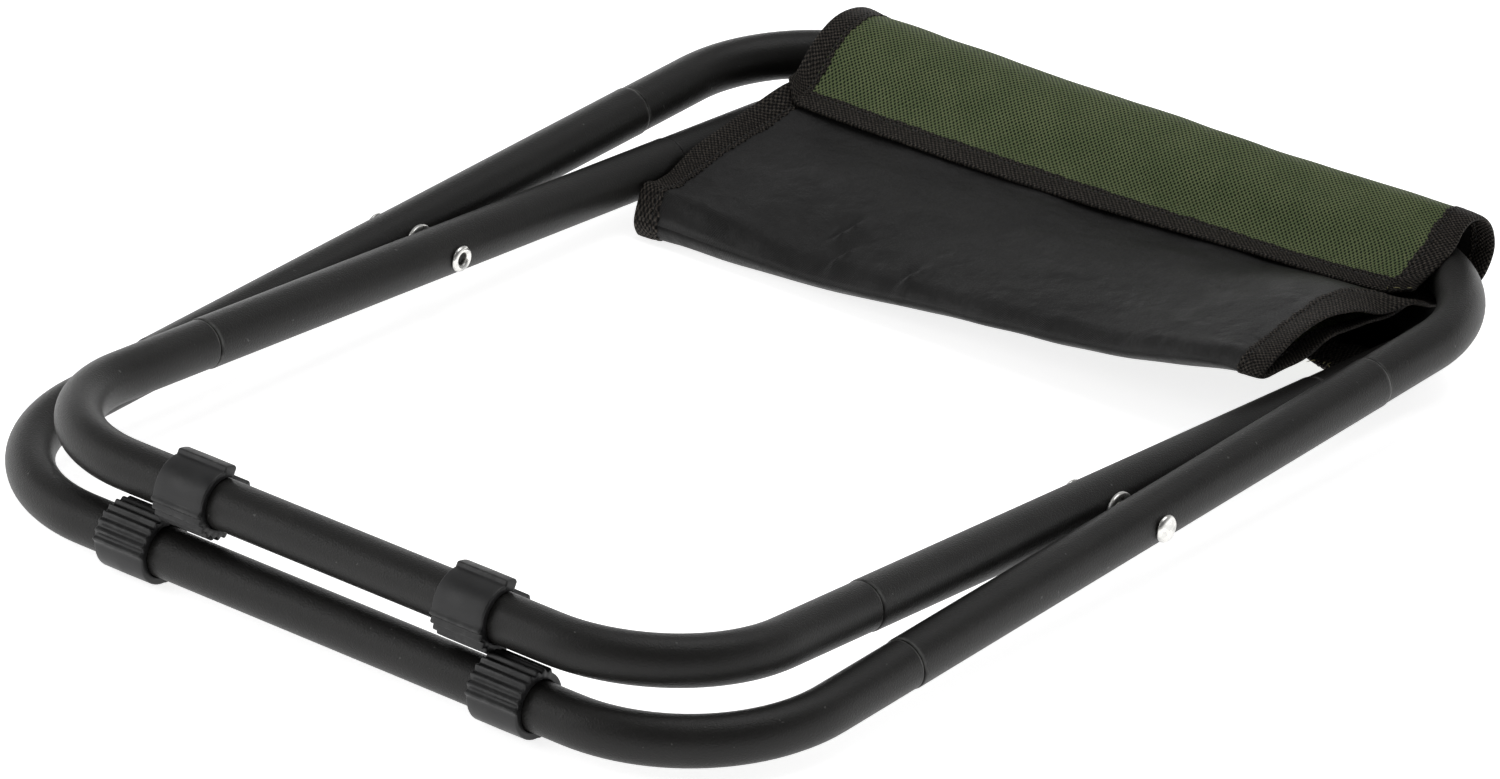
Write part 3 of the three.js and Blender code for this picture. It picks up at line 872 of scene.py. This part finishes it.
def add_plies():
    """Face and lining of each part. Their edges end inside the binding tape."""
    edge = 1 - 0.8 / CLOTH_HALF_WIDTH
    places = np.linspace(-edge, edge, round(2 * CLOTH_HALF_WIDTH / CLOTH_STEP) + 1)
    sampler = Sampler(places, CLOTH_STEP)
    plies = {
        "face": (0.0, FACE_PLY, GREEN, "seat_cloth"),
        "lining": (-LINING_PLY, -0.01, LINING, "seat_lining"),
    }
    made = {}
    for name, (_, _, body, _) in PARTS.items():
        rows, points, normals = sampler.part(name)
        for ply, (low, high, look, slot) in plies.items():
            solid, faces = sheet_solid(points, normals, low, high)
            both_sides = np.tile(grid_attribute(places * CLOTH_HALF_WIDTH, rows), (2, 1))
            piece = add_piece(f"{name}_{ply}", solid, faces, look, body, {"cloth": both_sides})
            settle(piece, name)
            made[name, ply] = piece
    return made


SEAM_IN = 2.3  # the stitches' groove, from the tape's inner edge
STITCH_IN = TAPE_WIDTH - SEAM_IN
STITCH = 2.5
STITCH_GAP = 0.8
STITCH_LIFT = TAPE_HALF - 0.34
STITCH_R = 0.2
LOOSE_R = 0.16
# Along a stitch: (share of its length, height over STITCH_LIFT)
STITCH_ARCH = ((0.0, -0.22), (0.12, 0.0), (0.5, 0.08), (0.88, 0.0), (1.0, -0.22))


def tape_outline():
    """A folded tape in section: (in from the cloth's edge, off its middle), round the cloth."""
    upper = [(TAPE_WIDTH, 0.40), (TAPE_WIDTH - 0.1, 0.72), (TAPE_WIDTH - 0.5, 0.88)]
    groove = ((0.7, 0.06), (0.0, 0.48), (-0.7, 0.06))
    upper += [(STITCH_IN + d, TAPE_HALF - dip) for d, dip in groove]
    upper += [(TAPE_WIDTH * 0.5, TAPE_HALF), (TAPE_WIDTH * 0.3, TAPE_HALF), (1.2, TAPE_HALF - 0.02)]
    upper += [(0.4, TAPE_HALF - 0.12), (-0.15, 0.62), (-0.42, 0.3)]
    lower = [(d, -off) for d, off in reversed(upper)]
    return np.array(upper + lower).T


TAPE_DEPTHS, TAPE_OFFS = tape_outline()
TAPE_ORDER = np.unique(TAPE_DEPTHS)
TAPE_FRAY = smooth_step(TAPE_DEPTHS, TAPE_WIDTH - TAPE_FRAY_WIDTH, TAPE_WIDTH)  # 1 at its inner edge


def pucker(along, seed):
    """How far the tape's inner edge and thickness wander along a seam."""
    wander = np.array([noise.noise(Vector((s * 0.21, seed, 0.5))) for s in along])
    return 0.4 * np.sin(2 * math.pi * along / (STITCH + STITCH_GAP)) + 0.95 * wander


def add_side_tapes():
    made = {}
    for side_name, side in SIDES.items():
        places = side * (1 - TAPE_ORDER / CLOTH_HALF_WIDTH)
        columns = np.searchsorted(TAPE_ORDER, TAPE_DEPTHS)
        if side > 0:
            places = places[::-1]
            columns = len(TAPE_ORDER) - 1 - columns
        sampler = Sampler(places, TAPE_STEP)
        for name, (_, _, body, _) in PARTS.items():
            rows, points, normals = sampler.part(name)
            wander = pucker(rows, 2.0 * side)
            from_hem = np.minimum(rows - GUIDE_KNOTS[0], GUIDE_KNOTS[-1] - rows)
            over_hem = 1 - smooth_step(from_hem, 9, 13)
            swell = (1 + HEM_SWELL * over_hem + TAPE_SWELL * wander)[:, None, None]
            sections = points[:, columns] + normals[:, columns] * TAPE_OFFS[None, :, None] * swell
            sections[..., 0] -= side * wander[:, None] * TAPE_FRAY[None, :]
            solid, faces = loft(sections)
            cloth = {"cloth": grid_attribute(TAPE_DEPTHS, rows)}
            piece = add_piece(f"{name}_{side_name}_tape", solid, faces, TAPE, body, cloth)
            settle(piece, name)
            made[name, side_name] = piece
    return made


def capsule(points, radius, sides=6):
    """A thread along a few points, tapered shut at both ends."""
    points = np.asarray(points, float)
    tangents = np.gradient(points, axis=0)
    sections = []
    for i, (point, tangent) in enumerate(zip(points, tangents)):
        tangent = tangent / np.linalg.norm(tangent)
        other = np.array([0.0, 0.0, 1.0]) if abs(tangent[2]) < 0.8 else np.array([1.0, 0.0, 0.0])
        first = np.cross(tangent, other)
        first = first / np.linalg.norm(first)
        second = np.cross(tangent, first)
        size = radius * (0.35 if i in (0, len(points) - 1) else 1.0)
        turns = [2 * math.pi * k / sides for k in range(sides)]
        sections.append([point + size * (math.cos(t) * first + math.sin(t) * second) for t in turns])
    return loft(sections)


def seam(line, normals, start, end):
    """Stitches on both faces of the tape, between two lengths along a line."""
    steps = np.linalg.norm(np.diff(line, axis=0), axis=1)
    length = np.concatenate([[0], np.cumsum(steps)])
    shares, arch = np.array(STITCH_ARCH).T
    shells = []
    for face in (1, -1):
        at = start
        while at + STITCH < min(end, length[-1]):
            reach = at + STITCH * shares
            base = np.stack([np.interp(reach, length, line[:, k]) for k in range(3)], axis=-1)
            up = np.stack([np.interp(reach, length, normals[:, k]) for k in range(3)], axis=-1)
            shells.append(capsule(base + up * face * (STITCH_LIFT + arch)[:, None], STITCH_R))
            at += STITCH + STITCH_GAP
    return shells


def add_side_stitches():
    for name, (_, _, body, _) in PARTS.items():
        shells = []
        for side in SIDES.values():
            place = side * (1 - STITCH_IN / CLOTH_HALF_WIDTH)
            step = 0.5 / CLOTH_HALF_WIDTH
            sampler = Sampler([place - step, place, place + step], TAPE_STEP)
            _, points, normals = sampler.part(name)
            shells += seam(points[:, 1], normals[:, 1], 1.0, math.inf)
        solid, faces = join_shells(shells)
        piece = add_piece(f"{name}_stitches", solid, faces, BLACK_YARN, body)
        settle(piece, name)


def add_hem(half):
    """Tape folded over a sleeve's end, with its line of stitches."""
    end, into = (GUIDE_KNOTS[0], 1) if half == "seat_front" else (GUIDE_KNOTS[-1], -1)
    edge = 1 - 0.3 / CLOTH_HALF_WIDTH
    places = np.linspace(-edge, edge, round(2 * CLOTH_HALF_WIDTH / HEM_STEP))
    rows = np.sort(end + into * TAPE_ORDER)
    points = creased(cloth_points(places, rows), rows)
    normals = surface_normals(points)
    pick = [int(np.argmin(np.abs(rows - (end + into * d)))) for d in (*TAPE_DEPTHS, STITCH_IN)]
    seam_row = pick.pop()
    wander = pucker(places * CLOTH_HALF_WIDTH, 7.0)
    off = TAPE_OFFS[None, :, None] * (1 + TAPE_SWELL * wander)[:, None, None]
    sections = np.swapaxes(points[pick], 0, 1) + np.swapaxes(normals[pick], 0, 1) * off
    sections[..., 1] += wander[:, None] * TAPE_FRAY[None, :]
    sections[..., 2] = np.maximum(sections[..., 2], HEM_CLEARANCE)
    solid, faces = loft(sections)
    cloth = grid_attribute(TAPE_DEPTHS, places * CLOTH_HALF_WIDTH)
    tape = add_piece(f"{half}_hem_binding", solid, faces, TAPE, half, {"cloth": cloth})
    inset = 8.0
    line = seam(points[seam_row], normals[seam_row], inset, 2 * CLOTH_HALF_WIDTH - inset)
    solid, faces = join_shells(line)
    add_piece(f"{half}_hem_stitches", solid, faces, BLACK_YARN, half)
    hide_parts(f"{half}_hem_tape")
    return tape


def add_loose_threads():
    """Cut thread ends at the right corners of both hems."""
    rng = random.Random(11)
    spots = (
        ("seat_front", 0, (0.94, 0.97, 0.985)),
        ("seat_rear", len(GUIDE_ROWS) - 1, (0.93, 0.96, 0.975, 0.99)),
    )
    for half, guide, places in spots:
        row = GUIDE_KNOTS[guide]
        near = row + (0.6 if guide == 0 else -0.6)
        points = cloth_points(np.array(places), np.sort(np.array([row, near])))
        shells = []
        for i in range(len(places)):
            start = points[0 if guide == 0 else 1, i] + np.array([0, 0, TAPE_HALF])
            lean = np.array([rng.uniform(-0.6, 0.9), rng.uniform(-0.8, 0.2), rng.uniform(0.1, 0.9)])
            curl = np.array([rng.uniform(-1, 1), rng.uniform(-1, 1), rng.uniform(-0.6, 0.2)])
            length = rng.uniform(1.6, 3.4)
            steps = np.linspace(0, 1, 7)[:, None]
            shells.append(capsule(start + length * (steps * lean + steps**2 * curl), LOOSE_R, 5))
        solid, faces = join_shells(shells)
        add_piece(f"{half}_loose_threads", solid, faces, LOOSE_YARN, half)


def add_seat():
    plies = add_plies()
    tapes = add_side_tapes()
    add_side_stitches()
    halves = ("seat_front", "seat_rear")
    hems = {half: add_hem(half) for half in halves}
    add_loose_threads()
    for half in halves:
        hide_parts(f"{half}_cloth")
        for side_name in SIDES:
            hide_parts(f"{half}_{side_name}_tape")
    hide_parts("seat_crease")
    declare_sheets(tapes, hems)


def declare_sheets(tapes, hems):
    """Gathers each part's two side tapes, and a sleeve's hem as well, into a list that is not used."""
    for name, (first, last, body, plane) in PARTS.items():
        own = [tapes[name, side_name] for side_name in SIDES]
        if plane is None:
            own.append(hems[body])


# ---------------------------------------------------------------- studio

# Places and sizes here are metres
CAMERA_AT = Vector((2.01069, -2.55981, 1.56466))
CAMERA_AIM = Vector((0.00597, -0.01377, 0.02410))
CAMERA_ROLL = math.radians(-2.353)
LENS_MM = 241.14
SENSOR_MM = 36.0
FLOOR_GLOW = 0.80
SKY_BRIGHT = 0.42
SKY_DARK = 0.14
OPENING_EDGE = 0.15
HORIZON_TOP = 0.45
HORIZON_GAIN = 4.6
OPENING_MIDDLE = 0.85
LIGHTS_AIM = (0.0, 0.0, 0.03)
LIGHTS = {  # name: place, size, power in watts
    "key": ((-1.5, -1.7, 1.2), 1.4, 12.0),
    "top": ((0.2, 0.5, 2.6), 2.0, 22.0),
}


def add_camera():
    data = bpy.data.cameras.new("camera")
    data.sensor_fit = "HORIZONTAL"
    data.sensor_width = SENSOR_MM
    data.lens = LENS_MM
    data.clip_start = 0.1
    data.clip_end = 50
    camera = add_object("camera", data)
    forward = (CAMERA_AIM - CAMERA_AT).normalized()
    level_right = forward.cross(Vector((0, 0, 1))).normalized()
    level_up = level_right.cross(forward)
    up = level_up * math.cos(CAMERA_ROLL) + level_right * math.sin(CAMERA_ROLL)
    right = forward.cross(up)
    turn = Matrix((right, up, -forward)).transposed()
    camera.matrix_world = Matrix.Translation(CAMERA_AT) @ turn.to_4x4()
    bpy.context.scene.camera = camera


def add_floor():
    half = 6.0
    mesh = bpy.data.meshes.new("floor")
    corners = [(-half, -half, 0), (half, -half, 0), (half, half, 0), (-half, half, 0)]
    mesh.from_pydata(corners, [], [(0, 1, 2, 3)])
    floor = add_object("floor", mesh)
    look = Look("pale_floor")
    look.set(Base_Color=rgb(0.9, 0.9, 0.9), Roughness=0.9, Specular_IOR_Level=0.1)
    look.set(Emission_Color=rgb(1.0, 1.0, 1.0), Emission_Strength=FLOOR_GLOW)
    mesh.materials.append(look.material)


def add_light(name, at, size, power):
    data = bpy.data.lights.new(name, "AREA")
    data.shape = "DISK"
    data.size = size
    data.energy = power
    light = add_object(name, data)
    light.location = at
    light.rotation_mode = "QUATERNION"
    light.rotation_quaternion = (Vector(LIGHTS_AIM) - Vector(at)).to_track_quat("-Z", "Y")


def add_sky():
    """Pale all round and brightest at the horizon, dimmer on the side where the camera stands."""
    world = bpy.data.worlds.new("studio")
    world.use_nodes = True
    sky = Nodes(world.node_tree)
    direction = sky.put("TexCoord", out="Generated")
    to_camera = (CAMERA_AT - CAMERA_AIM).normalized()
    facing = sky.put("VectorMath", (direction, to_camera), out="Value", operation="DOT_PRODUCT")
    height = sky.put("SeparateXYZ", [direction], out=2)
    fade = sky.ramp(facing, OPENING_EDGE, OPENING_MIDDLE, SKY_BRIGHT, SKY_DARK)
    glow = sky.ramp(height, HORIZON_TOP, 0.0, 1.0, HORIZON_GAIN)
    background = sky.tree.nodes["Background"]
    sky.plug(background.inputs["Strength"], sky.math("MULTIPLY", fade, glow))
    sky.plug(background.inputs["Color"], rgb(1.0, 1.0, 1.0))
    bpy.context.scene.world = world


def add_studio():
    add_camera()
    add_floor()
    add_sky()
    for name, settings in LIGHTS.items():
        add_light(name, *settings)
    bpy.context.scene.view_settings.view_transform = "Standard"


add_studio()
add_frame_tubes()
add_pivots()
add_clips()
add_seat()
